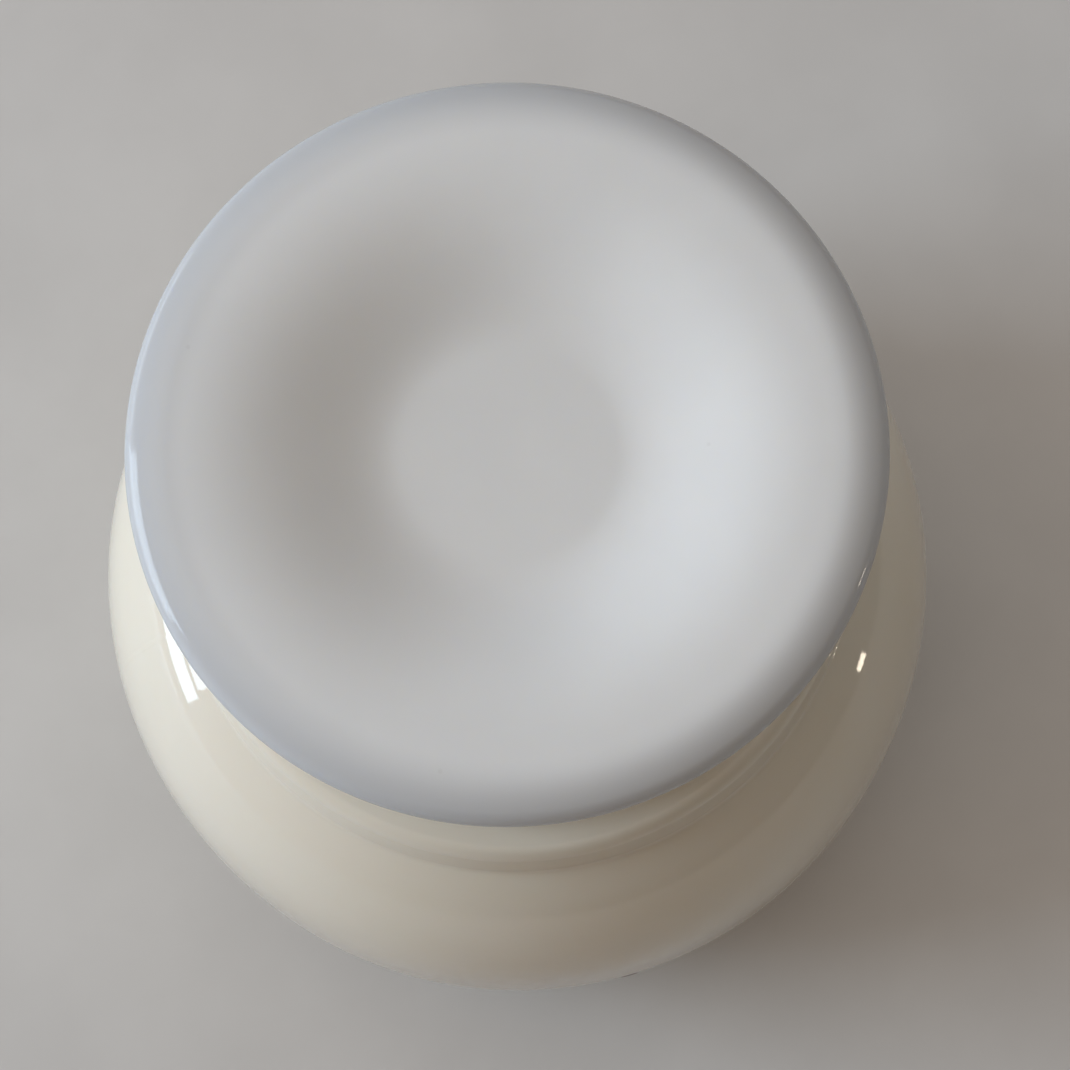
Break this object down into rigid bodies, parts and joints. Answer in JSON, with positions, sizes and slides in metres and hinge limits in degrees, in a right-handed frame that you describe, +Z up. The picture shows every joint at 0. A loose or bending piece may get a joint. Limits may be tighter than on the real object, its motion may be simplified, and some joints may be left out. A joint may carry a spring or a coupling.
{
  "type": "cosmetic cream jar",
  "caption": "Globe-shaped opal glass cream jar with a ledge under a dished, wide-rimmed screw lid, an inner sealing disc and a liner.",
  "frame": {"origin": "centre of the foot ring, on the surface that the jar stands on", "axes": "+Z up along the axis of the jar; -Y is the printed front"},
  "size_m": [0.0822, 0.0822, 0.0876],
  "materials": {
    "opal_glass": "polished, milky and warm",
    "disc_plastic": "satin, slightly see-through",
    "liner_foam": "fine closed-cell foam",
    "inner_plastic": "as moulded",
    "lid_plastic": "gloss, cool white, slightly translucent"
  },
  "bodies": {
    "jar": {"jar_body": "opal_glass"},
    "disc": {"sealing_disc": "disc_plastic"},
    "liner": {"lid_liner": "liner_foam"},
    "lid": {"lid_shell": "lid_plastic", "lid_inner_cap": "inner_plastic"}
  },
  "joints": [
    {"name": "lid_rise", "type": "slide", "parent": "jar", "child": "liner", "axis": [0, 0, 1], "range_m": [0, 0.015]},
    {"name": "lid_turn", "type": "hinge", "parent": "liner", "child": "lid", "pos_m": [0, 0, 0.07], "axis": [0, 0, 1], "range_deg": [0, 540]},
    {"name": "disc_lift", "type": "slide", "parent": "jar", "child": "disc", "axis": [0, 0, 1], "range_m": [0, 0.008]}
  ],
  "couplings": [
    {"joint": "lid_rise", "follows": "lid_turn", "m_per_rad": 0.0015915},
    {"joint": "disc_lift", "follows": "lid_turn", "m_per_rad": 0.00084883}
  ]
}
